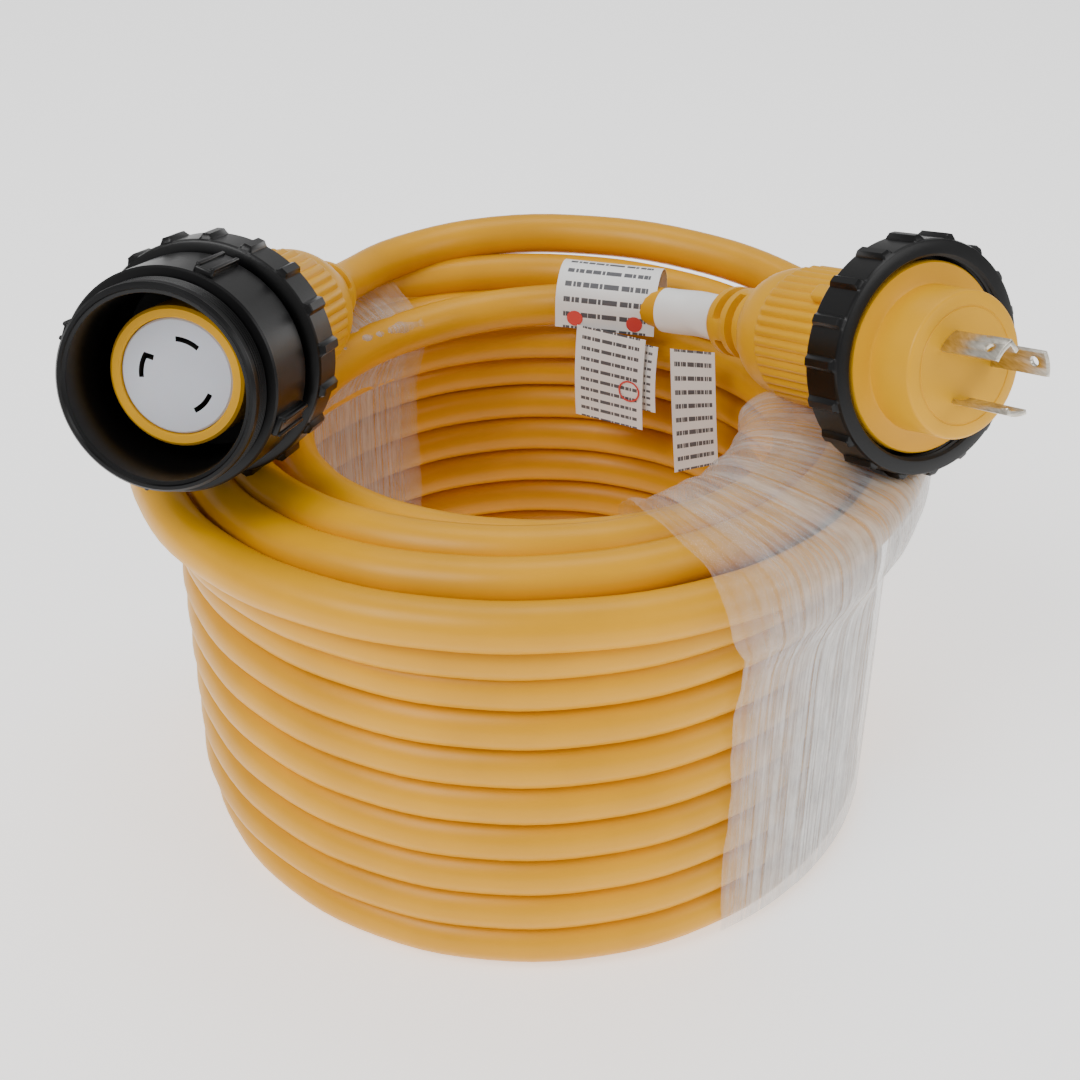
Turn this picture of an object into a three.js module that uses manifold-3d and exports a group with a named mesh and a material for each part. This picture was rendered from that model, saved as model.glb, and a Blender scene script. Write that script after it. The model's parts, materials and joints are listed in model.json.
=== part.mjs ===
// Shore power cord: a coiled three-core cable with a locking plug at one end and a locking
// connector with a threaded adapter collar at the other. Millimetres, +Z up, resting on Z = 0.
import * as THREE from "three";
import { mergeVertices } from "three/addons/utils/BufferGeometryUtils.js";
import Module from "manifold-3d";

const wasm = await Module();
wasm.setup();

// ---- Driving dimensions -------------------------------------------------------------------

const GAP = 0.3; // air left between neighbouring pieces

const CABLE_R = 8.1; // jacket radius
const ROW_PITCH = 15.7; // height of one row of turns in the coil
const COIL_ROWS = 8; // full rows below the top layer
const COIL_OUTER_R = 129.5;
const COIL_INNER_R = 98;
const GROOVE = 2.2; // depth of the dent between two rows

const TOP_OUTER_R = 137; // the top layer hangs over the rows below it
const TOP_INNER_R = 80;
const TOP_THICK = 26.5;
const TOP_SHIFT_X = -5; // the top layer sits a little off the axis of the rows below

const COIL_TOP_Z = COIL_ROWS * ROW_PITCH;
const TOP_Z0 = COIL_TOP_Z + GAP;
const TOP_Z1 = TOP_Z0 + TOP_THICK;
const LEAD_Z = TOP_Z1 + CABLE_R + 4; // height of the leads, which cross over the top layer

// Each end is built along its own axis: station 0 is the seat of its coupling ring and the
// contacts face the positive side. REAR is the station where the cable goes in.
const PLUG_REAR = -107;
const PLUG_SEAT = new THREE.Vector3(128.6, -49.3, 195.5);
const PLUG_ENTRY = new THREE.Vector3(68.7, 47.6, LEAD_Z);
const CONNECTOR_REAR = -106;
const CONNECTOR_SEAT = new THREE.Vector3(-101, -44, 195);
const CONNECTOR_ENTRY = new THREE.Vector3(-72.8, 80.5, LEAD_Z);

const RING_BODY_R = 38.4; // coupling ring without its ribs
const RING_RIB_RISE = 1.5;
const RING_BORE_R = 32.6; // crest of the inside thread
const RING_LIP_R = 26.2; // the lip that holds the ring behind the flange
const RING_LENGTH = 16;
const RING_RIBS = 18;

const STRAIN_LENGTH = 26; // strain relief behind each grip
const JACKET_REACH = 12; // how far the jacket goes into the back of a grip

const GRIP_R = 23.4;
const FLUTE_RISE = 0.9;
const FLUTES = 30;
const FLANGE_R = 31.2;

const CONTACT_CIRCLE_R = 11.7; // the curved blades stand on this circle
const BLADE_THICK = 1.5;
const BLADE_WIDTH = 8.2;
const CONDUCTOR_R = 2.1;
const BARREL_R = 2.6; // crimp barrel behind a blade or contact

const FILM_THICK = 1;
const PAPER_THICK = 0.5;

const YELLOW = { color: 0xf2b01e, roughness: 0.45, metalness: 0 };
const BLACK = { color: 0x161618, roughness: 0.5, metalness: 0 };
const RUBBER = { color: 0x2a2a2c, roughness: 0.8, metalness: 0 };
const PALE = { color: 0xd9dbe0, roughness: 0.5, metalness: 0 };
const NICKEL = { color: 0xb9b4a6, roughness: 0.3, metalness: 1 };
const BRASS = { color: 0xc9a24a, roughness: 0.35, metalness: 1 };
const FILM = { color: 0xe9ecef, roughness: 0.2, metalness: 0 };
const PAPER = { color: 0xf4f4f1, roughness: 0.8, metalness: 0 };
const CORE_COLOURS = {
  hot: { color: 0x1b1b1d, roughness: 0.5, metalness: 0 },
  neutral: { color: 0xe8e8e6, roughness: 0.5, metalness: 0 },
  ground: { color: 0x1f7a3a, roughness: 0.5, metalness: 0 },
};

const group = new THREE.Group();
group.name = "shore_power_cord";

function place(name, geometry, finish, frame) {
  const solid = geometry.clone();
  if (frame) solid.applyMatrix4(frame);
  solid.computeVertexNormals();
  const mesh = new THREE.Mesh(solid, new THREE.MeshStandardMaterial(finish));
  mesh.name = name;
  group.add(mesh);
}

// ---- Geometry helpers ---------------------------------------------------------------------

// Evenly spaced directions around an axis.
function evenly(count) {
  return Array.from({ length: count }, (_, k) => ({ angle: (k / count) * 2 * Math.PI, rise: 0 }));
}

// The same small outline repeated around an axis: steps are [share of one pitch, rise 0 to 1].
function repeated(count, steps) {
  const directions = [];
  for (let k = 0; k < count; k += 1) {
    for (const [share, rise] of steps) {
      directions.push({ angle: ((k + share) / count) * 2 * Math.PI, rise });
    }
  }
  return directions;
}

// A turned body. Profile points are [radius, height, swell]; swell is how far the directions'
// rise pushes that point outwards. A profile starts and ends on the axis or closes on itself.
function turned(profile, directions) {
  const closes = profile[0][0] > 0;
  const positions = [];
  const index = [];
  const rows = profile.map(([radius, height, swell = 0]) => {
    const first = positions.length / 3;
    if (radius === 0) {
      positions.push(0, 0, height);
      return () => first;
    }
    for (const { angle, rise } of directions) {
      const r = radius + swell * rise;
      positions.push(r * Math.cos(angle), r * Math.sin(angle), height);
    }
    return (j) => first + (j % directions.length);
  });
  const spans = closes ? rows.length : rows.length - 1;
  for (let i = 0; i < spans; i += 1) {
    const low = rows[i];
    const high = rows[(i + 1) % rows.length];
    for (let j = 0; j < directions.length; j += 1) {
      const quad = [low(j), low(j + 1), high(j + 1), high(j)];
      if (quad[0] !== quad[1]) index.push(quad[0], quad[1], quad[2]);
      if (quad[2] !== quad[3]) index.push(quad[0], quad[2], quad[3]);
    }
  }
  const geometry = new THREE.BufferGeometry();
  geometry.setAttribute("position", new THREE.Float32BufferAttribute(positions, 3));
  geometry.setIndex(index);
  return faceOutwards(geometry);
}

function signedVolume(geometry) {
  const p = geometry.getAttribute("position");
  const index = geometry.getIndex();
  const [a, b, c] = [new THREE.Vector3(), new THREE.Vector3(), new THREE.Vector3()];
  let six = 0;
  for (let i = 0; i < index.count; i += 3) {
    a.fromBufferAttribute(p, index.getX(i));
    b.fromBufferAttribute(p, index.getX(i + 1));
    c.fromBufferAttribute(p, index.getX(i + 2));
    six += a.dot(b.cross(c));
  }
  return six / 6;
}

function faceOutwards(geometry) {
  if (signedVolume(geometry) > 0) return geometry;
  const index = Array.from(geometry.getIndex().array);
  for (let i = 0; i < index.length; i += 3) {
    [index[i], index[i + 1]] = [index[i + 1], index[i]];
  }
  geometry.setIndex(index);
  return geometry;
}

function solidOf(geometry) {
  const bare = geometry.clone();
  bare.deleteAttribute("normal");
  bare.deleteAttribute("uv");
  const merged = faceOutwards(mergeVertices(bare, 1e-4));
  return new wasm.Manifold(
    new wasm.Mesh({
      numProp: 3,
      vertProperties: new Float32Array(merged.getAttribute("position").array),
      triVerts: new Uint32Array(merged.getIndex().array),
    }),
  );
}

function geometryOf(solid) {
  const mesh = solid.getMesh();
  const geometry = new THREE.BufferGeometry();
  geometry.setAttribute("position", new THREE.Float32BufferAttribute(mesh.vertProperties, 3));
  geometry.setIndex(Array.from(mesh.triVerts));
  return geometry;
}

function cut(body, tools) {
  return geometryOf(tools.reduce((left, tool) => left.subtract(solidOf(tool)), solidOf(body)));
}

function joined(parts) {
  return geometryOf(parts.slice(1).reduce((sum, part) => sum.add(solidOf(part)), solidOf(parts[0])));
}

function box(size, centre) {
  return new THREE.BoxGeometry(...size).translate(...centre);
}

// A piece of a thick ring: a curved plate whose middle is at `middle` radians, from z0 to z1.
function curvedPlate(innerR, outerR, middle, halfSpan, z0, z1, steps = 6) {
  const shape = new THREE.Shape();
  shape.absarc(0, 0, outerR, middle - halfSpan, middle + halfSpan, false);
  shape.absarc(0, 0, innerR, middle + halfSpan, middle - halfSpan, true);
  shape.closePath();
  const options = { depth: z1 - z0, bevelEnabled: false, curveSegments: steps };
  return new THREE.ExtrudeGeometry(shape, options).translate(0, 0, z0);
}

function tube(points, radius, steps, sides) {
  const shape = new THREE.Shape();
  for (let k = 0; k < sides; k += 1) {
    const angle = (k / sides) * 2 * Math.PI;
    const [x, y] = [radius * Math.cos(angle), radius * Math.sin(angle)];
    if (k === 0) shape.moveTo(x, y);
    else shape.lineTo(x, y);
  }
  shape.closePath();
  const path = new THREE.CatmullRomCurve3(points);
  return new THREE.ExtrudeGeometry(shape, { steps, extrudePath: path, bevelEnabled: false });
}

function radial(radius, angle, z) {
  return new THREE.Vector3(radius * Math.cos(angle), radius * Math.sin(angle), z);
}

// The frame of one end: its axis runs from the cable entry to the ring seat.
function endFrame(seat, entry) {
  const axis = seat.clone().sub(entry).normalize();
  const across = new THREE.Vector3(-axis.y, axis.x, 0).normalize();
  const upright = new THREE.Vector3().crossVectors(axis, across);
  return new THREE.Matrix4().makeBasis(across, upright, axis).setPosition(seat);
}

// ---- Pieces shared by both ends -----------------------------------------------------------

// Sealing coupling ring: a ribbed collar, threaded inside, with a lip at its back.
function couplingRing(back) {
  const front = back + RING_LENGTH;
  const ribs = repeated(RING_RIBS, [[0, 0], [0.06, 1], [0.2, 1], [0.26, 0]]);
  const profile = [
    [RING_LIP_R, back],
    [RING_BODY_R - 1, back],
    [RING_BODY_R, back + 1, RING_RIB_RISE],
    [RING_BODY_R, front - 1, RING_RIB_RISE],
    [RING_BODY_R - 1, front],
    [RING_BORE_R, front],
    [RING_BORE_R, back + 4],
    [RING_LIP_R, back + 4],
  ];
  return turned(profile, ribs);
}

function strainRelief(rear) {
  const front = rear + STRAIN_LENGTH;
  const profile = [
    [CABLE_R + GAP, rear],
    [10.8, rear],
    [12.6, rear + 4],
    [12.6, rear + 9],
    [10.6, rear + 11],
    [10.6, rear + 14],
    [13.4, rear + 16],
    [13.4, rear + 22],
    [12.6, front],
    [CABLE_R + GAP, front],
  ];
  return turned(profile, evenly(24));
}

// Station of the strain relief's front face, where the moulded grip begins.
function gripStart(rear) {
  return rear + STRAIN_LENGTH + GAP;
}

function gripOutline(rear, ringBack) {
  const start = gripStart(rear);
  return [
    [13.8, start],
    [18.6, start + 4],
    [22, start + 10],
    [GRIP_R, start + 16],
    [GRIP_R, start + 17, FLUTE_RISE],
    [GRIP_R, ringBack - 6, FLUTE_RISE],
    [GRIP_R, ringBack - 5],
    [RING_LIP_R - 1, ringBack - 2],
  ];
}

// The cavity behind the contacts, open to the back around the cable.
function cavityOutline(rear, cavityR, cavityEnd) {
  const start = gripStart(rear);
  return [
    [cavityR, cavityEnd],
    [cavityR, start + 24],
    [CABLE_R + GAP, start + 14],
    [CABLE_R + GAP, start],
  ];
}

// The raised key on the grip, in line with the grounding contact.
function gripKey([z0, z1], degrees) {
  const key = box([5, 5.6, z1 - z0], [GRIP_R + 0.6, 0, (z0 + z1) / 2]);
  return key.rotateZ(THREE.MathUtils.degToRad(degrees));
}

// The end of the jacket, held inside the strain relief and the back of the grip.
function jacketEnd(rear) {
  const front = gripStart(rear) + JACKET_REACH;
  const profile = [[0, rear + GAP], [CABLE_R, rear + GAP], [CABLE_R, front], [0, front]];
  return turned(profile, evenly(16));
}

function conductor(rear, angle, end) {
  const start = gripStart(rear) + JACKET_REACH + GAP;
  const bend = (end - start) / 3;
  const points = [
    radial(4, angle, start),
    radial(4, angle, start + bend * 0.6),
    radial(CONTACT_CIRCLE_R, angle, end - bend),
    radial(CONTACT_CIRCLE_R, angle, end),
  ];
  return tube(points, CONDUCTOR_R, 10, 8);
}

function barrel(angle, z0, z1) {
  const centre = radial(CONTACT_CIRCLE_R, angle, (z0 + z1) / 2);
  const drum = new THREE.CylinderGeometry(BARREL_R, BARREL_R, z1 - z0, 12).rotateX(Math.PI / 2);
  return drum.translate(centre.x, centre.y, centre.z);
}

// ---- Plug ---------------------------------------------------------------------------------

const PLUG_FACE = 16; // front of the nose
const PLUG_WALL = 4; // thickness of the nose's front wall
const PLUG_CAVITY_R = 18.5;
const NOSE_R = 23.7;
const BLADE_REACH = 23.5; // length of a blade in front of the face
const BLADE_HOLE_R = 1.6;
const BARREL_BACK = -14; // station where a blade's crimp barrel begins
const PLUG_KEY = [-38, -19]; // stations of the raised key
const PLUG_BLADES = { ground: 123, hot: 5, neutral: 258 }; // degrees around the axis

const bladeHalfSpan = BLADE_WIDTH / 2 / CONTACT_CIRCLE_R;

function bladeSlot(degrees, z0, z1) {
  const middle = THREE.MathUtils.degToRad(degrees);
  const halfThick = BLADE_THICK / 2 + GAP;
  const halfSpan = bladeHalfSpan + GAP / CONTACT_CIRCLE_R;
  return curvedPlate(CONTACT_CIRCLE_R - halfThick, CONTACT_CIRCLE_R + halfThick, middle, halfSpan, z0, z1);
}

function plugBody() {
  const ringBack = -RING_LENGTH;
  const outline = [
    ...gripOutline(PLUG_REAR, ringBack),
    [RING_LIP_R - 1, -6],
    [FLANGE_R, -6],
    [FLANGE_R, -1.5],
    [NOSE_R + 0.6, -1.5],
    [NOSE_R, 0],
    [NOSE_R, PLUG_FACE - 1],
    [NOSE_R - 1, PLUG_FACE],
    [0, PLUG_FACE],
    [0, PLUG_FACE - PLUG_WALL],
    ...cavityOutline(PLUG_REAR, PLUG_CAVITY_R, PLUG_FACE - PLUG_WALL),
  ];
  // The outline passes through the axis at the front wall, so body and cavity are turned apart.
  const shell = outline.slice(0, -5);
  const cavity = outline.slice(-5);
  const solid = turned([[0, shell[0][1]], ...shell], repeated(FLUTES, [[0, 0], [0.5, 1]]));
  const behind = gripStart(PLUG_REAR) - 1;
  const hollow = turned([...cavity.slice(0, -1), [CABLE_R + GAP, behind], [0, behind]], evenly(24));
  const slots = Object.values(PLUG_BLADES).map((angle) => bladeSlot(angle, 8, PLUG_FACE + 1));
  const keyed = joined([solid, gripKey(PLUG_KEY, PLUG_BLADES.ground)]);
  return cut(keyed, [hollow, ...slots]);
}

function plugCarrier() {
  const back = 4;
  const front = PLUG_FACE - PLUG_WALL - GAP;
  const r = PLUG_CAVITY_R - GAP;
  const disc = turned([[0, back], [r, back], [r, front], [0, front]], evenly(24));
  const slots = Object.values(PLUG_BLADES).map((angle) => bladeSlot(angle, back - 1, front + 1));
  return cut(disc, slots);
}

// A curved blade with its crimp barrel behind the carrier and a cross hole near the tip.
function blade(degrees) {
  const middle = THREE.MathUtils.degToRad(degrees);
  const [inner, outer] = [CONTACT_CIRCLE_R - BLADE_THICK / 2, CONTACT_CIRCLE_R + BLADE_THICK / 2];
  const tip = PLUG_FACE + BLADE_REACH;
  const plate = curvedPlate(inner, outer, middle, bladeHalfSpan, -4, tip);
  const hole = new THREE.CylinderGeometry(BLADE_HOLE_R, BLADE_HOLE_R, 8, 12);
  hole.rotateZ(Math.PI / 2 + middle);
  const seat = radial(CONTACT_CIRCLE_R, middle, tip - 5);
  hole.translate(seat.x, seat.y, seat.z);
  return cut(joined([plate, barrel(middle, BARREL_BACK, -3)]), [hole]);
}

// The grounding blade has a lip bent inwards at its tip.
function groundBlade(degrees) {
  const middle = THREE.MathUtils.degToRad(degrees);
  const tip = PLUG_FACE + BLADE_REACH;
  const lip = box([5, BLADE_THICK, 9], [CONTACT_CIRCLE_R - 2.5, -BLADE_WIDTH / 2 + 0.6, tip - 4.5]);
  return joined([blade(degrees), lip.rotateZ(middle)]);
}

function flangeGasket() {
  const profile = [
    [RING_LIP_R - 1 + GAP, -8.2],
    [FLANGE_R - 0.6, -8.2],
    [FLANGE_R - 0.6, -6 - GAP],
    [RING_LIP_R - 1 + GAP, -6 - GAP],
  ];
  return turned(profile, evenly(32));
}

function buildPlug() {
  const frame = endFrame(PLUG_SEAT, PLUG_ENTRY);
  place("plug_grip_body", plugBody(), YELLOW, frame);
  place("plug_strain_relief", strainRelief(PLUG_REAR), YELLOW, frame);
  place("plug_blade_carrier", plugCarrier(), PALE, frame);
  place("plug_coupling_ring", couplingRing(-RING_LENGTH), BLACK, frame);
  place("plug_flange_gasket", flangeGasket(), PALE, frame);
  place("plug_jacket_end", jacketEnd(PLUG_REAR), YELLOW, frame);
  for (const [core, degrees] of Object.entries(PLUG_BLADES)) {
    const shape = core === "ground" ? groundBlade(degrees) : blade(degrees);
    place(`plug_${core}_blade`, shape, NICKEL, frame);
    const angle = THREE.MathUtils.degToRad(degrees);
    const wire = conductor(PLUG_REAR, angle, BARREL_BACK - GAP);
    place(`plug_${core}_conductor`, wire, CORE_COLOURS[core], frame);
  }
}

// ---- Connector ----------------------------------------------------------------------------

const CONNECTOR_RING_BACK = -5;
const CONNECTOR_KEY = [-27, -8];
const CONNECTOR_FLANGE = [2, 5.5]; // stations of the flange's back and front
const CONNECTOR_NOSE_R = 22;
const CONNECTOR_FACE = 34;
const INSERT_R = 18.2;
const INSERT_BACK = 12;
const INSERT_RECESS = 0.8;
const CONNECTOR_CONTACTS = { ground: 168, hot: 72, neutral: 318 }; // degrees around the axis
const SLOT_WIDTH = 2.2;
const CHAMBER_WIDTH = 6;

const COLLAR_FRONT = 50;
const COLLAR_BACK = 7;
const COLLAR_BORE_R = 28.7;
const COLLAR_BAND_R = 35.2;
const COLLAR_THREAD_R = 32.2;
const COLLAR_THREAD_LENGTH = 10;
const COLLAR_THREAD_PITCH = 2;
const COLLAR_BARS = 4;
const FIRST_BAR = -18; // degrees around the axis

function connectorBody() {
  const [flangeBack, flangeFront] = CONNECTOR_FLANGE;
  const shell = [
    ...gripOutline(CONNECTOR_REAR, CONNECTOR_RING_BACK),
    [RING_LIP_R - 1, flangeBack],
    [FLANGE_R, flangeBack],
    [FLANGE_R, flangeFront],
    [CONNECTOR_NOSE_R, flangeFront],
    [CONNECTOR_NOSE_R, CONNECTOR_FACE - 0.6],
    [CONNECTOR_NOSE_R - 0.6, CONNECTOR_FACE],
    [INSERT_R + GAP, CONNECTOR_FACE],
  ];
  const hollow = cavityOutline(CONNECTOR_REAR, INSERT_R + GAP, CONNECTOR_FACE).slice(1);
  const body = turned([...shell, ...hollow], repeated(FLUTES, [[0, 0], [0.5, 1]]));
  return joined([body, gripKey(CONNECTOR_KEY, CONNECTOR_CONTACTS.ground)]);
}

function contactPocket(degrees, width, halfSpan, z0, z1) {
  const middle = THREE.MathUtils.degToRad(degrees);
  const [inner, outer] = [CONTACT_CIRCLE_R - width / 2, CONTACT_CIRCLE_R + width / 2];
  return curvedPlate(inner, outer, middle, halfSpan, z0, z1);
}

// White face piece: three curved slots in front, a wider chamber behind each of them.
function connectorInsert() {
  const front = CONNECTOR_FACE - INSERT_RECESS;
  const profile = [[0, INSERT_BACK], [INSERT_R, INSERT_BACK], [INSERT_R, front], [0, front]];
  const slotSpan = bladeHalfSpan + 0.05;
  const tools = [];
  for (const degrees of Object.values(CONNECTOR_CONTACTS)) {
    tools.push(contactPocket(degrees, SLOT_WIDTH, slotSpan, front - 5, front + 1));
    tools.push(contactPocket(degrees, CHAMBER_WIDTH, slotSpan, INSERT_BACK - 1, front - 4));
  }
  const middle = THREE.MathUtils.degToRad(CONNECTOR_CONTACTS.ground);
  const corner = box([4, SLOT_WIDTH, 6], [CONTACT_CIRCLE_R - 1.5, -BLADE_WIDTH / 2, front - 2]);
  return cut(turned(profile, evenly(32)), [...tools, corner.rotateZ(middle)]);
}

// Spring contact: two curved leaves joined by a floor, with a crimp barrel behind.
function contact(degrees) {
  const middle = THREE.MathUtils.degToRad(degrees);
  const leaf = 0.8;
  const half = CHAMBER_WIDTH / 2 - GAP;
  const top = CONNECTOR_FACE - INSERT_RECESS - 5;
  const floor = INSERT_BACK + 1.2;
  const span = bladeHalfSpan;
  const r = CONTACT_CIRCLE_R;
  return joined([
    curvedPlate(r - half, r - half + leaf, middle, span, INSERT_BACK, top),
    curvedPlate(r + half - leaf, r + half, middle, span, INSERT_BACK, top),
    curvedPlate(r - half, r + half, middle, span, INSERT_BACK, floor),
    barrel(middle, 0, INSERT_BACK + 0.4),
  ]);
}

// Adapter collar: screwed into the coupling ring, with its own outside thread in front.
function adapterCollar() {
  const threadStart = COLLAR_FRONT - COLLAR_THREAD_LENGTH;
  const outline = [
    [COLLAR_BORE_R, COLLAR_BACK],
    [COLLAR_THREAD_R, COLLAR_BACK],
    [COLLAR_THREAD_R, 13],
    [COLLAR_BAND_R - 0.8, 13],
    [COLLAR_BAND_R, 14],
    [COLLAR_BAND_R, threadStart],
  ];
  for (let z = threadStart; z < COLLAR_FRONT - 2; z += COLLAR_THREAD_PITCH) {
    outline.push([COLLAR_THREAD_R - 0.8, z + 0.5], [COLLAR_THREAD_R, z + 1.2]);
  }
  outline.push([COLLAR_THREAD_R - 0.8, COLLAR_FRONT], [COLLAR_BORE_R, COLLAR_FRONT]);
  const bars = [];
  for (let k = 0; k < COLLAR_BARS; k += 1) {
    const bar = box([3, 5, 20], [COLLAR_BAND_R, 0, 28]);
    bars.push(bar.rotateZ(THREE.MathUtils.degToRad(FIRST_BAR + (360 / COLLAR_BARS) * k)));
  }
  return joined([turned(outline, evenly(40)), ...bars]);
}

function collarGasket() {
  const [, flangeFront] = CONNECTOR_FLANGE;
  const [z0, z1] = [flangeFront + GAP, COLLAR_BACK - GAP];
  const inner = CONNECTOR_NOSE_R + GAP;
  return turned([[inner, z0], [COLLAR_THREAD_R - 1, z0], [COLLAR_THREAD_R - 1, z1], [inner, z1]], evenly(32));
}

function buildConnector() {
  const frame = endFrame(CONNECTOR_SEAT, CONNECTOR_ENTRY);
  place("connector_grip_body", connectorBody(), YELLOW, frame);
  place("connector_strain_relief", strainRelief(CONNECTOR_REAR), YELLOW, frame);
  place("connector_insert", connectorInsert(), PALE, frame);
  place("connector_coupling_ring", couplingRing(CONNECTOR_RING_BACK), BLACK, frame);
  place("connector_adapter_collar", adapterCollar(), BLACK, frame);
  place("connector_collar_gasket", collarGasket(), RUBBER, frame);
  place("connector_jacket_end", jacketEnd(CONNECTOR_REAR), YELLOW, frame);
  for (const [core, degrees] of Object.entries(CONNECTOR_CONTACTS)) {
    place(`connector_${core}_contact`, contact(degrees), BRASS, frame);
    const wire = conductor(CONNECTOR_REAR, THREE.MathUtils.degToRad(degrees), -GAP);
    place(`connector_${core}_conductor`, wire, CORE_COLOURS[core], frame);
  }
}

// ---- Cable --------------------------------------------------------------------------------

function rowsProfile() {
  const profile = [];
  for (let row = 0; row < COIL_ROWS; row += 1) {
    const z = row * ROW_PITCH;
    profile.push([COIL_OUTER_R - (row === 0 ? 4 : GROOVE), z]);
    profile.push([COIL_OUTER_R, z + ROW_PITCH / 2]);
  }
  profile.push([COIL_OUTER_R - 4, COIL_TOP_Z], [COIL_INNER_R + 4, COIL_TOP_Z]);
  for (let row = COIL_ROWS - 1; row >= 0; row -= 1) {
    const z = row * ROW_PITCH;
    profile.push([COIL_INNER_R, z + ROW_PITCH / 2]);
    profile.push([COIL_INNER_R + (row === 0 ? 4 : GROOVE), z]);
  }
  return profile;
}

function topLayerProfile() {
  return [
    [TOP_INNER_R + 5, TOP_Z0],
    [TOP_OUTER_R - 8, TOP_Z0],
    [TOP_OUTER_R - 4, TOP_Z0 + 12],
    [TOP_OUTER_R, TOP_Z0 + 17],
    [TOP_OUTER_R, TOP_Z1 - 5],
    [TOP_OUTER_R - 5, TOP_Z1],
    [TOP_INNER_R + 5, TOP_Z1],
    [TOP_INNER_R, TOP_Z1 - 5],
    [TOP_INNER_R, TOP_Z0 + 5],
  ];
}

// A lead leaves the strain relief straight along the axis of its end.
function leadStart(seat, entry, rear, distances) {
  const axis = seat.clone().sub(entry).normalize();
  return distances.map((distance) => seat.clone().addScaledVector(axis, rear - distance));
}

const PLUG_LEAD_PATH = [
  ...leadStart(PLUG_SEAT, PLUG_ENTRY, PLUG_REAR, [GAP, 6, 12]),
  new THREE.Vector3(44, 80, LEAD_Z),
  new THREE.Vector3(24, 91, LEAD_Z),
  new THREE.Vector3(0, 96, LEAD_Z),
  new THREE.Vector3(-24, 95, LEAD_Z),
];
const CONNECTOR_LEAD_PATH = [
  ...leadStart(CONNECTOR_SEAT, CONNECTOR_ENTRY, CONNECTOR_REAR, [GAP, 8, 23]),
  new THREE.Vector3(-58, 112, LEAD_Z),
  new THREE.Vector3(-24, 130, LEAD_Z),
  new THREE.Vector3(14, 133, LEAD_Z),
  new THREE.Vector3(48, 123, LEAD_Z),
  new THREE.Vector3(80, 103, LEAD_Z),
];

function buildCable() {
  place("cable_coil_rows", turned(rowsProfile(), evenly(40)), YELLOW);
  const topLayer = turned(topLayerProfile(), evenly(40)).translate(TOP_SHIFT_X, 0, 0);
  place("cable_coil_top", topLayer, YELLOW);
  place("cable_plug_lead", tube(PLUG_LEAD_PATH, CABLE_R, 14, 10), YELLOW);
  place("cable_connector_lead", tube(CONNECTOR_LEAD_PATH, CABLE_R, 16, 10), YELLOW);
}

// ---- Wrapping film and labels -------------------------------------------------------------

const FILM_SPAN = THREE.MathUtils.degToRad(44);
const FILM_DIRECTIONS = { right: -38, left: 142 }; // degrees around the coil

// A band of stretch film standing around the coil, just clear of the top layer's overhang.
function filmBand(degrees) {
  const middle = THREE.MathUtils.degToRad(degrees);
  const inner = TOP_OUTER_R - TOP_SHIFT_X + GAP;
  return curvedPlate(inner, inner + FILM_THICK, middle, FILM_SPAN / 2, 6, TOP_Z1 - 2, 12);
}

function labelPlate(width, height, centre, turnDegrees) {
  const plate = box([width, PAPER_THICK, height], [0, 0, 0]);
  return plate.rotateZ(THREE.MathUtils.degToRad(turnDegrees)).translate(...centre);
}

// A paper sleeve around a lead, between two shares of the lead's length.
function sleeveOn(points, from, to) {
  const path = new THREE.CatmullRomCurve3(points);
  const stretch = (start, end) =>
    Array.from({ length: 7 }, (_, k) => path.getPointAt(start + ((end - start) * k) / 6));
  const bore = CABLE_R + GAP + 0.5;
  const outside = tube(stretch(from, to), bore + PAPER_THICK, 6, 16);
  const inside = tube(stretch(from - 0.03, to + 0.03), bore, 6, 16);
  return cut(outside, [inside]);
}

function buildWrapping() {
  for (const [side, degrees] of Object.entries(FILM_DIRECTIONS)) {
    place(`film_band_${side}`, filmBand(degrees), FILM);
  }
  place("label_sleeve", sleeveOn(PLUG_LEAD_PATH, 0.04, 0.27), PAPER);
  place("label_loop_tag", labelPlate(38, 18, [26, 75.5, LEAD_Z - 1], -25), PAPER);
  place("label_warning_tag", labelPlate(30, 34, [31.3, 66.2, LEAD_Z - 37.5], -28), PAPER);
  place("label_rear_tag", labelPlate(24, 26, [37.4, 63.9, LEAD_Z - 33.5], -28), PAPER);
  place("label_long_tag", labelPlate(15, 50, [59, 37, LEAD_Z - 38], -15), PAPER);
}

buildPlug();
buildConnector();
buildCable();
buildWrapping();

// The origin is under the middle of the whole object, on the floor.
const bounds = new THREE.Box3().setFromObject(group);
const centre = bounds.getCenter(new THREE.Vector3());
group.position.set(-centre.x, -centre.y, -bounds.min.z);

export default group;
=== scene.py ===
"""Looks for the coiled shore power cord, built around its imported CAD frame."""

import json
import math

import bmesh
import bpy
from mathutils import Matrix, Vector


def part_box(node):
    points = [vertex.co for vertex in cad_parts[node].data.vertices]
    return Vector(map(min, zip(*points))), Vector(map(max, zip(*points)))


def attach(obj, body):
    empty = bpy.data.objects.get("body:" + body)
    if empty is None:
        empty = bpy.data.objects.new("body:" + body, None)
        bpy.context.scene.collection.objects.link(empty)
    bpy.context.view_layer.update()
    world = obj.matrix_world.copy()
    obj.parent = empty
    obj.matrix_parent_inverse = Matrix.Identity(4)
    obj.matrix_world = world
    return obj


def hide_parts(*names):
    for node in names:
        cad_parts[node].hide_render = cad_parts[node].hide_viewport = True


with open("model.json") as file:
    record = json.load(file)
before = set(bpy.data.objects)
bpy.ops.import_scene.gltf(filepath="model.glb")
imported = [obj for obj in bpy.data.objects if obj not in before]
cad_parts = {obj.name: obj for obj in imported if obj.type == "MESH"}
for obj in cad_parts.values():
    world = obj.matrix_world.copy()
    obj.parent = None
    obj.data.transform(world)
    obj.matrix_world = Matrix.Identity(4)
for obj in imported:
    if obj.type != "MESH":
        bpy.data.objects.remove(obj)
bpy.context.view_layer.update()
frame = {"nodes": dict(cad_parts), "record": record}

MM = 0.001

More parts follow.
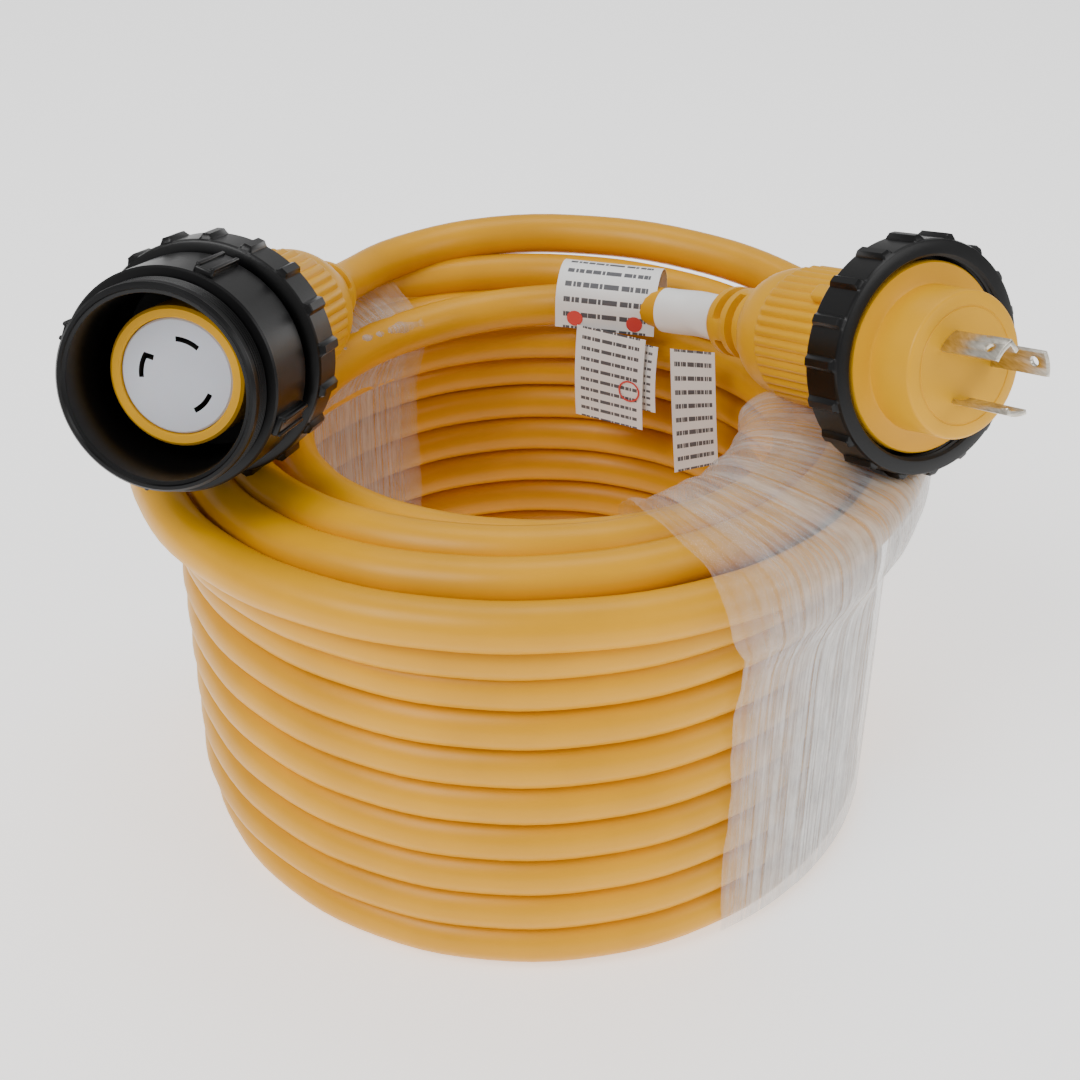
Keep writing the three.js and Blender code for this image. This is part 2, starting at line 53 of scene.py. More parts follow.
# ---- Places taken from the frame ------------------------------------------------------------

JOINTS = {joint["name"]: joint for joint in frame["record"]["behaviour"]["joints"]}


def middle_of(node):
    low, high = (Vector(corner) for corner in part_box(node))
    return (low + high) / 2


AXIS = middle_of("cable_coil_rows")
ORIGIN = Vector((AXIS.x, AXIS.y, 0))  # foot of the coil's axis


def place(x, y, z):
    """A point given in millimetres from the foot of the coil's axis."""
    return ORIGIN + Vector((x, y, z)) * MM


def end_matrix(joint_name):
    """Frame of one end, in millimetres: Z along its axis from the ring's seat to the contacts."""
    joint = JOINTS[joint_name]
    axis = Vector(joint["axis"]).normalized()
    across = Vector((-axis.y, axis.x, 0)).normalized()
    upright = axis.cross(across)
    turn = Matrix((across, upright, axis)).transposed().to_4x4()
    return Matrix.Translation(joint["pos_m"]) @ turn @ Matrix.Scale(MM, 4)


PLUG = end_matrix("plug_ring_spin")
CONNECTOR = end_matrix("connector_ring_turn")

PLUG_REAR = -107.0
CONNECTOR_REAR = -106.0
STRAIN_LENGTH = 26.0

# ---- Camera ---------------------------------------------------------------------------------

CAMERA_BACK = 541.0
CAMERA_HEIGHT = 443.0
CAMERA_DOWN = 32.8  # degrees below the horizon
CAMERA_LENS = 56.7


def make_camera():
    data = bpy.data.cameras.new("camera")
    data.lens = CAMERA_LENS
    data.sensor_width = 36.0
    camera = bpy.data.objects.new("camera", data)
    camera.location = place(3.2, -CAMERA_BACK, CAMERA_HEIGHT)
    camera.rotation_euler = (math.radians(90 - CAMERA_DOWN), 0, 0)
    bpy.context.scene.collection.objects.link(camera)
    bpy.context.scene.camera = camera


make_camera()

# ---- Materials ------------------------------------------------------------------------------


class Nodes:
    """Small helper to build one material's node tree."""

    def __init__(self, name):
        self.material = bpy.data.materials.new(name)
        self.material.use_nodes = True
        self.tree = self.material.node_tree
        self.tree.nodes.clear()
        self.output = self.tree.nodes.new("ShaderNodeOutputMaterial")
        self.shader = self.add("ShaderNodeBsdfPrincipled")
        self.link(self.shader.outputs[0], self.output.inputs[0])
        self.coords = self.add("ShaderNodeTexCoord")

    def add(self, kind, **settings):
        node = self.tree.nodes.new(kind)
        for key, value in settings.items():
            setattr(node, key, value)
        return node

    def link(self, source, target):
        self.tree.links.new(source, target)

    def set(self, **values):
        for key, value in values.items():
            self.shader.inputs[key.replace("_", " ")].default_value = value

    def noise(self, scale, detail=3.0, stretch=(1, 1, 1), roughness=0.5, source="Object"):
        mapping = self.add("ShaderNodeMapping")
        mapping.inputs["Scale"].default_value = stretch
        self.link(self.coords.outputs[source], mapping.inputs["Vector"])
        noise = self.add("ShaderNodeTexNoise")
        noise.inputs["Scale"].default_value = scale
        noise.inputs["Detail"].default_value = detail
        noise.inputs["Roughness"].default_value = roughness
        self.link(mapping.outputs[0], noise.inputs["Vector"])
        return noise.outputs[0]

    def ramp(self, value, stops):
        ramp = self.add("ShaderNodeValToRGB")
        elements = ramp.color_ramp.elements
        while len(elements) < len(stops):
            elements.new(0.5)
        for element, (position, colour) in zip(elements, stops):
            element.position = position
            element.color = (*colour, 1) if len(colour) == 3 else colour
        self.link(value, ramp.inputs[0])
        return ramp.outputs[0]

    def bump(self, height, strength, distance):
        bump = self.add("ShaderNodeBump")
        bump.inputs["Strength"].default_value = strength
        bump.inputs["Distance"].default_value = distance
        self.link(height, bump.inputs["Height"])
        self.link(bump.outputs[0], self.shader.inputs["Normal"])

    def roughness_between(self, value, low, high):
        spread = self.add("ShaderNodeMapRange")
        spread.inputs["To Min"].default_value = low
        spread.inputs["To Max"].default_value = high
        self.link(value, spread.inputs[0])
        self.link(spread.outputs[0], self.shader.inputs["Roughness"])


def plastic(name, dark, light, roughness, grain=900.0, depth=0.00004):
    """Moulded plastic: a faint cloudiness in the colour, uneven gloss and a fine grain."""
    nodes = Nodes(name)
    cloud = nodes.noise(22.0, 4.0)
    nodes.link(nodes.ramp(cloud, [(0.3, dark), (0.7, light)]), nodes.shader.inputs["Base Color"])
    nodes.roughness_between(nodes.noise(60.0), roughness - 0.06, roughness + 0.08)
    nodes.bump(nodes.noise(grain, 2.0), 0.25, depth)
    return nodes


def jacket_material():
    nodes = plastic("jacket_yellow", (0.62, 0.290, 0.0), (0.74, 0.352, 0.0), 0.36, 420.0, 0.00008)
    nodes.set(Specular_IOR_Level=0.3)
    return nodes.material


def moulding_material():
    nodes = plastic("moulding_yellow", (0.66, 0.325, 0.0), (0.76, 0.38, 0.0), 0.4)
    nodes.set(Specular_IOR_Level=0.32)
    return nodes.material


def black_material():
    nodes = plastic("nylon_black", (0.0015, 0.0015, 0.0016), (0.004, 0.004, 0.0045), 0.3, 700.0)
    nodes.set(Specular_IOR_Level=0.28)
    return nodes.material


def insert_material():
    nodes = plastic("insert_pale", (0.50, 0.51, 0.56), (0.60, 0.61, 0.66), 0.42)
    nodes.set(Subsurface_Weight=0.15, Subsurface_Scale=0.004)
    return nodes.material


def rubber_material():
    return plastic("rubber_dark", (0.012, 0.012, 0.012), (0.025, 0.025, 0.025), 0.7).material


def gasket_material():
    return plastic("gasket_pale", (0.62, 0.60, 0.52), (0.75, 0.73, 0.66), 0.5).material


def metal_material(name, dark, light):
    nodes = Nodes(name)
    streaks = nodes.noise(260.0, 4.0, (1, 1, 6))
    nodes.link(nodes.ramp(streaks, [(0.3, dark), (0.7, light)]), nodes.shader.inputs["Base Color"])
    nodes.set(Metallic=1.0)
    nodes.roughness_between(streaks, 0.22, 0.42)
    nodes.bump(streaks, 0.15, 0.00003)
    return nodes.material


def core_material(name, dark, light):
    return plastic(name, dark, light, 0.45).material


YELLOW_JACKET = jacket_material()
YELLOW_MOULDING = moulding_material()
BLACK_NYLON = black_material()
PALE_INSERT = insert_material()
DARK_RUBBER = rubber_material()
# Painted shade: near-black for the walls of the slots cut into the insert, standing in for the shade deep inside
# them.
SLOT_PAINTED_SHADE = plastic("slot_painted_shade", (0.010, 0.007, 0.005), (0.02, 0.014, 0.01), 0.8).material
PALE_GASKET = gasket_material()
NICKEL = metal_material("nickel", (0.50, 0.46, 0.38), (0.74, 0.70, 0.62))
BRASS = metal_material("brass", (0.60, 0.42, 0.16), (0.78, 0.58, 0.26))

# ---- Mesh helpers ---------------------------------------------------------------------------


def to_object(name, vertices, faces, material, matrix=None, sharp=35.0):
    mesh = bpy.data.meshes.new(name)
    mesh.from_pydata([tuple(v) for v in vertices], [], faces)
    if matrix is not None:
        mesh.transform(matrix)
    mesh.validate()
    for polygon in mesh.polygons:
        polygon.use_smooth = True
    mesh.set_sharp_from_angle(angle=math.radians(sharp))
    mesh.materials.append(material)
    obj = bpy.data.objects.new(name, mesh)
    bpy.context.scene.collection.objects.link(obj)
    return obj


def turned(name, profile, material, matrix, count=96, rise=None, sharp=35.0):
    """A turned body. A profile point is (radius, height) or (radius, height, swell): the
    radius grows by swell times rise(angle). The profile starts on the axis or closes on itself."""
    rise = rise or (lambda angle: 0.0)
    angles = [2 * math.pi * k / count for k in range(count)]
    rises = [rise(angle) for angle in angles]
    on_axis = profile[0][0] == 0
    vertices = []
    faces = []
    starts = []
    for radius, height, *rest in profile:
        swell = rest[0] if rest else 0.0
        starts.append((len(vertices), radius == 0))
        if radius == 0:
            vertices.append((0, 0, height))
            continue
        for angle, amount in zip(angles, rises):
            r = radius + swell * amount
            vertices.append((r * math.cos(angle), r * math.sin(angle), height))
    spans = len(profile) - 1 if on_axis else len(profile)
    for i in range(spans):
        (low, low_point), (high, high_point) = starts[i], starts[(i + 1) % len(profile)]
        for k in range(count):
            n = (k + 1) % count
            if low_point:
                faces.append((low, high + n, high + k))
            elif high_point:
                faces.append((low + k, low + n, high))
            else:
                faces.append((low + k, low + n, high + n, high + k))
    obj = to_object(name, vertices, faces, material, matrix, sharp)
    fix_normals(obj)
    return obj


def fix_normals(obj):
    bm = bmesh.new()
    bm.from_mesh(obj.data)
    bmesh.ops.recalc_face_normals(bm, faces=bm.faces)
    bm.to_mesh(obj.data)
    bm.free()


def rounded_box(name, size, material, matrix, bevel=0.6):
    """A block with rounded edges, in millimetres."""
    bm = bmesh.new()
    bmesh.ops.create_cube(bm, size=1.0)
    bmesh.ops.scale(bm, vec=size, verts=bm.verts)
    bmesh.ops.bevel(bm, geom=bm.edges[:], offset=bevel, segments=3, profile=0.5, affect="EDGES")
    mesh = bpy.data.meshes.new(name)
    bm.to_mesh(mesh)
    bm.free()
    mesh.transform(matrix)
    for polygon in mesh.polygons:
        polygon.use_smooth = True
    mesh.set_sharp_from_angle(angle=math.radians(35))
    mesh.materials.append(material)
    obj = bpy.data.objects.new(name, mesh)
    bpy.context.scene.collection.objects.link(obj)
    return obj


def merge(main, *others):
    """Joins other objects' meshes into main."""
    bm = bmesh.new()
    bm.from_mesh(main.data)
    for other in others:
        bm.from_mesh(other.data)
    bm.to_mesh(main.data)
    bm.free()
    for other in others:
        bpy.data.objects.remove(other, do_unlink=True)
    return main


def curved_plate(name, inner, outer, middle, half, z0, z1, material, matrix, steps=10):
    """A piece of a thick ring between two stations; angles in degrees."""
    vertices = []
    for z in (z0, z1):
        for radius in (inner, outer):
            for k in range(steps + 1):
                angle = math.radians(middle - half + 2 * half * k / steps)
                vertices.append((radius * math.cos(angle), radius * math.sin(angle), z))
    n = steps + 1
    faces = []
    for k in range(steps):
        faces.append((k, k + 1, n + k + 1, n + k))
        faces.append((2 * n + k, 3 * n + k, 3 * n + k + 1, 2 * n + k + 1))
        faces.append((k, 2 * n + k, 2 * n + k + 1, k + 1))
        faces.append((n + k, n + k + 1, 3 * n + k + 1, 3 * n + k))
    faces.append((0, n, 3 * n, 2 * n))
    faces.append((n - 1, 3 * n - 1, 4 * n - 1, 2 * n - 1))
    obj = to_object(name, vertices, faces, material, matrix)
    fix_normals(obj)
    return obj


def cut(obj, *tools):
    """Takes the tools' shapes out of obj for good."""
    for tool in tools:
        modifier = obj.modifiers.new("cut", "BOOLEAN")
        modifier.operation = "DIFFERENCE"
        modifier.solver = "EXACT"
        modifier.object = tool
        modifier.material_mode = "TRANSFER"
    graph = bpy.context.evaluated_depsgraph_get()
    mesh = bpy.data.meshes.new_from_object(obj.evaluated_get(graph))
    obj.modifiers.clear()
    mesh.set_sharp_from_angle(angle=math.radians(30))
    obj.data = mesh
    for tool in tools:
        bpy.data.objects.remove(tool, do_unlink=True)
    return obj


def bevelled(obj, width, segments=2):
    """Rounds an object's sharp edges for good; width in millimetres."""
    modifier = obj.modifiers.new("round", "BEVEL")
    modifier.width = width * MM
    modifier.segments = segments
    modifier.limit_method = "ANGLE"
    modifier.angle_limit = math.radians(40)
    graph = bpy.context.evaluated_depsgraph_get()
    mesh = bpy.data.meshes.new_from_object(obj.evaluated_get(graph))
    mesh.set_sharp_from_angle(angle=math.radians(30))
    obj.modifiers.clear()
    obj.data = mesh
    return obj


# ---- The cable's route ----------------------------------------------------------------------

CABLE_D = 16.2
PITCH = 15.7
FIRST_ROW_Z = CABLE_D / 2
FOOT_LIFT = 1.0  # keeps the lowest turn on the floor where the route dips
OUTER_R = 121.4
INNER_R = 105.4
POINTS_PER_TURN = 20
TOP_SHIFT_X = -5.0


def wound_at(turn, radius, height, shift):
    """A point of the coil. Turns are counted clockwise from the front, seen from above."""
    angle = math.radians(-90 - 360 * turn)
    return Vector((radius * math.cos(angle) + shift, radius * math.sin(angle), height))


# Anchors of the top layer, from the connector's lead to the outer rows:
# (turn, radius, height, how far the turn is shifted towards the left).
TOP_ANCHORS = [
    (0.43, 125, 161.5, 0),
    (0.465, 130.5, 162, 0),
    (0.50, 132.5, 163, 1),
    (0.62, 133, 161, 2),
    (0.75, 133, 152.5, 1),
    (0.86, 133, 147, -2),
    (1.00, 129.1, 146.6, -5),
    (1.25, 129.5, 144.5, -5),
    (1.50, 121, 150, -2),
    (1.75, 117, 150.5, -2),
    (2.00, 113.3, 152, -5),
    (2.25, 112, 142, -5),
    (2.50, 112, 138, -2),
    (2.75, 104, 146, -2),
    (3.00, 98, 153.5, -5),
    (3.25, 102, 146, -5),
    (3.50, 128, 139, 0),
    (3.75, 126, 136.5, 0),
    (4.00, 124, 133, -3),
    (4.50, 122, 125.5, -1),
]
OUTER_ROWS = 8
INNER_BACK_Z = 20.4  # height of the first inner turn at the back
INNER_TURNS = 8
# Anchors of the innermost turns, on to the plug's lead.
LAST_ANCHORS = [
    (20.50, 99, 130.3, 0),
    (20.75, 96, 141, 0),
    (21.00, 88, 149.5, -3),
    (21.25, 86, 146, 0),
    (21.40, 89, 145.5, 0),
    (21.50, 90.5, 149, 0),
    (21.56, 89.7, 153.2, 0),
]


def row_anchors():
    """The outer rows on the way down and the inner rows on the way up."""
    anchors = []
    for row in range(OUTER_ROWS):
        anchors.append((5 + row, OUTER_R, FIRST_ROW_Z + PITCH * (OUTER_ROWS - 1 - row) + FOOT_LIFT, 0))
    anchors.append((12.5, (OUTER_R + INNER_R) / 2, FIRST_ROW_Z, 0))
    anchors.append((13.0, INNER_R, FIRST_ROW_Z + 4, 0))
    for row in range(INNER_TURNS - 1):
        anchors.append((13.5 + row, INNER_R, INNER_BACK_Z + PITCH * row, 0))
    return anchors


def between(anchors, turn):
    """Smooth values between the anchors: a cubic whose slopes are those of the neighbours."""
    last = len(anchors) - 1
    i = max(k for k in range(last) if anchors[k][0] <= turn + 1e-9)
    a, b = anchors[i], anchors[i + 1]
    before, after = anchors[max(i - 1, 0)], anchors[min(i + 2, last)]
    span = b[0] - a[0]
    s = (turn - a[0]) / span
    values = []
    for c in (1, 2, 3):
        slope_a = (b[c] - before[c]) / (b[0] - before[0]) * span
        slope_b = (after[c] - a[c]) / (after[0] - a[0]) * span
        h00 = 2 * s**3 - 3 * s**2 + 1
        h10 = s**3 - 2 * s**2 + s
        h01 = 3 * s**2 - 2 * s**3
        h11 = s**3 - s**2
        values.append(h00 * a[c] + h10 * slope_a + h01 * b[c] + h11 * slope_b)
    return values


def lead_points(matrix, rear, distances):
    """The first points of a lead, straight out of the strain relief. Rear first."""
    return [matrix @ Vector((0, 0, rear - distance)) for distance in distances]


def cable_route():
    """Centreline from the plug to the connector, in metres."""
    anchors = TOP_ANCHORS + row_anchors() + LAST_ANCHORS
    first, last = anchors[0][0], anchors[-1][0]
    steps = math.ceil((last - first) * POINTS_PER_TURN)
    wound = []
    for k in range(steps + 1):
        turn = first + (last - first) * k / steps
        wound.append(place(*wound_at(turn, *between(anchors, turn))))
    wound.reverse()
    start = lead_points(PLUG, PLUG_REAR, (0.4, 22))
    end = lead_points(CONNECTOR, CONNECTOR_REAR, (24, 0.4))
    return start + wound + end


def length_of(points):
    return sum((b - a).length for a, b in zip(points, points[1:]))


def cable_curve(points):
    data = bpy.data.curves.new("cable", "CURVE")
    data.dimensions = "3D"
    data.resolution_u = 5
    data.bevel_depth = CABLE_D / 2 * MM
    data.bevel_resolution = 7
    data.use_fill_caps = True
    spline = data.splines.new("BEZIER")
    spline.bezier_points.add(len(points) - 1)
    for knot, point in zip(spline.bezier_points, points):
        knot.co = point
        knot.handle_left_type = "AUTO"
        knot.handle_right_type = "AUTO"
    obj = bpy.data.objects.new("cable", data)
    bpy.context.scene.collection.objects.link(obj)
    data.materials.append(YELLOW_JACKET)
    return obj


ROUTE = cable_route()
cable = cable_curve(ROUTE)
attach(cable, "cord")
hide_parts("cable_coil_rows", "cable_coil_top", "cable_plug_lead", "cable_connector_lead")
print("cable length", round(length_of(ROUTE), 3))

# ---- Pieces shared by both ends --------------------------------------------------------------

JACKET_R = CABLE_D / 2
RING_LENGTH = 16.0
RING_BODY_R = 38.4
RING_BORE_R = 32.6
RING_LIP_R = 26.2
RING_RIBS = 18
RIB_RISE = 1.7
GRIP_R = 23.4
FLUTES = 40
FLANGE_R = 31.2


def smooth_step(value):
    value = min(max(value, 0.0), 1.0)
    return value * value * (3 - 2 * value)


def ring_rib(angle):
    """Height of the coupling ring's ribs around it, 0 to 1: narrow round-topped bars."""
    share = (angle * RING_RIBS / (2 * math.pi)) % 1.0
    off_centre = abs(share - 0.5)
    return smooth_step((0.16 - off_centre) / 0.06)


def flute(angle):
    """Round ridges side by side around a grip."""
    wave = 0.5 + 0.5 * math.cos(angle * FLUTES)
    return wave**0.55


def thread_profile(radius, depth, start, end, pitch):
    """Round thread crests from one station to another, as points of a turned profile."""
    count = int(abs(end - start) / pitch)
    step = (end - start) / count
    points = []
    for k in range(count):
        z = start + step * k
        points.append((radius, z + step * 0.15))
        points.append((radius, z + step * 0.35))
        points.append((radius + depth, z + step * 0.65))
        points.append((radius + depth, z + step * 0.85))
    return points


def coupling_ring(name, back, matrix):
    front = back + RING_LENGTH
    body = RING_BODY_R
    profile = [
        (RING_LIP_R, back + 0.6),
        (RING_LIP_R + 0.6, back),
        (body - 1.6, back),
        (body - 0.5, back + 0.4),
        (body, back + 1.2, 0.0),
        (body, back + 1.5, RIB_RISE * 0.6),
        (body, back + 2.2, RIB_RISE),
        (body, front - 2.2, RIB_RISE),
        (body, front - 1.5, RIB_RISE * 0.6),
        (body, front - 1.2, 0.0),
        (body - 0.4, front - 0.3),
        (body - 1.0, front),
        (RING_BORE_R + 1.0, front),
        (RING_BORE_R + 0.2, front - 0.6),
    ]
    profile += thread_profile(RING_BORE_R + 1.0, -1.0, front - 1.2, back + 5, 1.9)
    profile += [(RING_BORE_R + 1, back + 4.4), (RING_LIP_R + 0.4, back + 4), (RING_LIP_R, back + 3.6)]
    return turned(name, profile, BLACK_NYLON, matrix, 18 * 24, ring_rib, 32)


def strain_relief(name, rear, matrix):
    """Moulded collar with two rows of arc slots that let the cable bend."""
    bore = JACKET_R + 0.15
    # Points from the cable's exit forwards: radius, distance, and which slot row it is in.
    length_ways = [
        (bore, 0.4, 0), (bore + 0.4, 0, 0), (10.6, 0, 0), (11.6, 0.8, 0),
        (12.6, 2.4, 0), (12.9, 3.6, 0), (12.9, 6.0, 0),
        (12.8, 6.4, 1), (12.8, 10.2, 1), (13.0, 10.6, 0),
        (13.3, 14.2, 0), (13.3, 14.6, 2), (13.3, 18.6, 2), (13.6, 19.0, 0),
        (13.8, 22.0, 0), (13.5, STRAIN_LENGTH - 2, 0), (13.9, STRAIN_LENGTH, 0),
        (bore, STRAIN_LENGTH, 0),
    ]
    count = 96
    vertices = []
    for radius, z, slot_row in length_ways:
        for k in range(count):
            share = (2 * k / count + (0.5 if slot_row == 2 else 0.0)) % 1.0
            r = radius
            if slot_row:
                r -= 4.0 * smooth_step((0.40 - abs(share - 0.5)) / 0.03)
            angle = 2 * math.pi * k / count
            vertices.append((r * math.cos(angle), r * math.sin(angle), rear + z))
    rows = len(length_ways)
    faces = []
    for i in range(rows):
        for k in range(count):
            n = (k + 1) % count
            j = (i + 1) % rows
            faces.append((i * count + k, i * count + n, j * count + n, j * count + k))
    obj = to_object(name, vertices, faces, YELLOW_MOULDING, matrix, 38)
    fix_normals(obj)
    return obj


def grip_profile(rear, ring_back):
    """Outside of a grip: domed shoulder, fluted barrel with rounded flute ends, plain neck."""
    start = rear + STRAIN_LENGTH + 0.3
    profile = [(13.0, start), (13.9, start)]
    for k in range(1, 9):
        angle = math.pi / 2 * k / 8
        profile.append((13.9 + (GRIP_R - 13.9) * math.sin(angle), start + 18 * (1 - math.cos(angle))))
    flutes_from = start + 19
    flutes_to = ring_back - 5.5
    rise = 1.15
    profile += [(GRIP_R, flutes_from, 0.0), (GRIP_R, flutes_from + 0.8, rise * 0.6)]
    profile += [(GRIP_R, flutes_from + 2, rise), (GRIP_R, flutes_to - 2, rise)]
    profile += [(GRIP_R, flutes_to - 0.8, rise * 0.6), (GRIP_R, flutes_to, 0.0)]
    profile += [(GRIP_R + 0.6, flutes_to + 1), (GRIP_R + 0.9, flutes_to + 2), (RING_LIP_R - 1, ring_back)]
    return profile


KEY_LENGTH = 19.0


def grip_key(ring_back, degrees, matrix):
    """The raised key on the grip, in line with the grounding contact."""
    turn = Matrix.Rotation(math.radians(degrees), 4, "Z")
    centre = Matrix.Translation((GRIP_R + 0.8, 0, ring_back - 3.0 - KEY_LENGTH / 2))
    return rounded_box("key", (5.2, 6.2, KEY_LENGTH), YELLOW_MOULDING, matrix @ turn @ centre, 1.5)


# ---- Plug -------------------------------------------------------------------------------------

PLUG_FACE = 16.0
NOSE_R = 23.7
CONTACT_R = 11.7
BLADE_THICK = 1.5
BLADE_HALF = 20.0  # half of a blade's width, in degrees around the axis
BLADE_TIP = PLUG_FACE + 23.5
PLUG_BLADES = {"ground": 123, "hot": 5, "neutral": 258}


def plug_body():
    profile = grip_profile(PLUG_REAR, -RING_LENGTH)
    profile += [(RING_LIP_R - 1, -6.4), (RING_LIP_R - 0.6, -6), (FLANGE_R - 0.6, -6), (FLANGE_R, -5.4)]
    profile += [(FLANGE_R, -2.1), (FLANGE_R - 0.5, -1.5), (NOSE_R + 1.2, -1.5), (NOSE_R + 0.3, -1.1)]
    profile += [(NOSE_R, -0.2), (NOSE_R, PLUG_FACE - 1.1), (NOSE_R - 0.4, PLUG_FACE - 0.4)]
    profile += [(NOSE_R - 1.2, PLUG_FACE)]
    # A fine circle is pressed into the face.
    profile += [(19.2, PLUG_FACE), (19.0, PLUG_FACE - 0.25), (18.6, PLUG_FACE - 0.25), (18.4, PLUG_FACE)]
    profile += [(0, PLUG_FACE)]
    profile = [(0, PLUG_REAR + STRAIN_LENGTH + 0.3)] + profile
    body = turned("plug_body_shell", profile, YELLOW_MOULDING, PLUG, FLUTES * 8, flute, 40)
    return merge(body, grip_key(-RING_LENGTH, PLUG_BLADES["ground"], PLUG))


def blade(name, degrees, lipped=False):
    inner, outer = CONTACT_R - BLADE_THICK / 2, CONTACT_R + BLADE_THICK / 2
    plate = curved_plate(name, inner, outer, degrees, BLADE_HALF, 10, BLADE_TIP, NICKEL, PLUG)
    turn = PLUG @ Matrix.Rotation(math.radians(degrees), 4, "Z")
    if lipped:
        spot = Matrix.Translation((CONTACT_R - 2.2, -3.6, BLADE_TIP - 5))
        lip = rounded_box("lip", (5.0, BLADE_THICK, 10), NICKEL, turn @ spot, 0.3)
        merge(plate, lip)
    hole = turned(
        "hole", [(0, -4), (1.7, -4), (1.7, 4), (0, 4)], NICKEL,
        turn @ Matrix.Translation((CONTACT_R, 0.4, BLADE_TIP - 5)) @ Matrix.Rotation(math.pi / 2, 4, "Y"), 32,
    )
    return bevelled(cut(plate, hole), 0.22)


def build_plug():
    body = plug_body()
    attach(body, "cord")
    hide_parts("plug_grip_body")
    relief = strain_relief("plug_strain_collar", PLUG_REAR, PLUG)
    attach(relief, "cord")
    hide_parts("plug_strain_relief")
    ring = coupling_ring("plug_ring_visual", -RING_LENGTH, PLUG)
    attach(ring, "plug_ring")
    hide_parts("plug_coupling_ring")
    blades = []
    for core, degrees in PLUG_BLADES.items():
        piece = blade(f"plug_{core}_blade_visual", degrees, core == "ground")
        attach(piece, "cord")
        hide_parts(f"plug_{core}_blade")
        blades.append(piece)
    return [body, relief, ring, *blades]


# ---- Connector ----------------------------------------------------------------------------------

RING_BACK = -5.0
CONNECTOR_NOSE_R = 22.0
CONNECTOR_FACE = 34.0
INSERT_R = 18.2
CONTACTS = {"ground": 168, "hot": 72, "neutral": 318}
COLLAR_FRONT = 50.0
COLLAR_BACK = 7.0
COLLAR_BORE_R = 28.7
COLLAR_BAND_R = 35.2
COLLAR_THREAD_R = 32.2


def connector_body():
    profile = grip_profile(CONNECTOR_REAR, RING_BACK)
    profile += [(RING_LIP_R - 1, 1.6), (RING_LIP_R - 0.6, 2), (FLANGE_R - 0.4, 2), (FLANGE_R, 2.4)]
    profile += [(FLANGE_R, 5.1), (FLANGE_R - 0.4, 5.5), (CONNECTOR_NOSE_R, 5.5)]
    profile += [(CONNECTOR_NOSE_R, CONNECTOR_FACE - 0.9), (CONNECTOR_NOSE_R - 0.9, CONNECTOR_FACE)]
    profile += [(INSERT_R + 0.6, CONNECTOR_FACE), (INSERT_R + 0.2, CONNECTOR_FACE - 0.4)]
    profile += [(INSERT_R + 0.2, 12), (13.0, -60)]
    body = turned("connector_body_shell", profile, YELLOW_MOULDING, CONNECTOR, FLUTES * 8, flute, 40)
    return merge(body, grip_key(RING_BACK, CONTACTS["ground"], CONNECTOR))


def connector_insert():
    front = CONNECTOR_FACE - 0.8
    profile = [(0, 12), (INSERT_R, 12), (INSERT_R, front - 0.6), (INSERT_R - 0.6, front), (0, front)]
    disc = turned("connector_insert_visual", profile, PALE_INSERT, CONNECTOR, 96)
    # The cut slots' walls take the tools' near-black material: painted shade in the slots.
    tools = []
    for core, degrees in CONTACTS.items():
        tools.append(
            curved_plate(
                "slot", CONTACT_R - 0.8, CONTACT_R + 0.8, degrees, BLADE_HALF - 1,
                front - 9, front + 1, SLOT_PAINTED_SHADE, CONNECTOR,
            )
        )
    turn = CONNECTOR @ Matrix.Rotation(math.radians(CONTACTS["ground"]), 4, "Z")
    corner = rounded_box("corner", (3.4, 1.7, 12), SLOT_PAINTED_SHADE,
                         turn @ Matrix.Translation((CONTACT_R - 1.6, -3.4, front - 4)), 0.1)
    return cut(disc, *tools, corner)


def adapter_collar():
    profile = [(COLLAR_BORE_R, COLLAR_BACK), (COLLAR_THREAD_R, COLLAR_BACK), (COLLAR_THREAD_R, 13)]
    profile += [(COLLAR_BAND_R - 1.4, 13), (COLLAR_BAND_R - 1.4, 15), (COLLAR_BAND_R, 15.6)]
    profile += [(COLLAR_BAND_R, 39.2), (COLLAR_BAND_R - 0.6, 39.8), (COLLAR_THREAD_R - 0.9, 40)]
    profile += thread_profile(COLLAR_THREAD_R - 1.1, 1.2, 40.4, 47.6, 1.44)
    profile += [(COLLAR_THREAD_R - 0.2, 48), (COLLAR_THREAD_R - 0.1, 49.2), (COLLAR_THREAD_R - 0.9, 50)]
    profile += [(COLLAR_BORE_R + 1.6, 50), (COLLAR_BORE_R + 1.2, 49.4), (COLLAR_BORE_R + 0.2, 49.2)]
    profile += [(COLLAR_BORE_R, 48.6)]
    collar = turned("collar_visual", profile, BLACK_NYLON, CONNECTOR, 160)
    bars = []
    for k in range(4):
        turn = CONNECTOR @ Matrix.Rotation(math.radians(90 * k - 18), 4, "Z")
        spot = Matrix.Translation((COLLAR_BAND_R + 0.3, 0, 27.5))
        bars.append(rounded_box("bar", (3.2, 6.5, 21), BLACK_NYLON, turn @ spot, 0.9))
        for side in (-1, 1):
            edge = Matrix.Translation((COLLAR_BAND_R + 1.4, 2.4 * side, 27.5))
            bars.append(rounded_box("edge", (2.6, 1.5, 20), BLACK_NYLON, turn @ edge, 0.6))
    return merge(collar, *bars)


def build_connector():
    body = connector_body()
    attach(body, "cord")
    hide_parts("connector_grip_body")
    relief = strain_relief("connector_strain_collar", CONNECTOR_REAR, CONNECTOR)
    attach(relief, "cord")
    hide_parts("connector_strain_relief")
    ring = coupling_ring("connector_ring_visual", RING_BACK, CONNECTOR)
    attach(ring, "connector_ring")
    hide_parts("connector_coupling_ring")
    insert = connector_insert()
    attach(insert, "cord")
    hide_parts("connector_insert")
    collar = adapter_collar()
    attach(collar, "collar")
    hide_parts("connector_adapter_collar")
    return [body, relief, ring, insert, collar]


plug_pieces = build_plug()
connector_pieces = build_connector()

CORE_FINISH = {
    "hot": core_material("core_black", (0.012, 0.012, 0.013), (0.03, 0.03, 0.03)),
    "neutral": core_material("core_white", (0.70, 0.70, 0.68), (0.82, 0.82, 0.80)),
    "ground": core_material("core_green", (0.02, 0.20, 0.05), (0.04, 0.28, 0.08)),
}


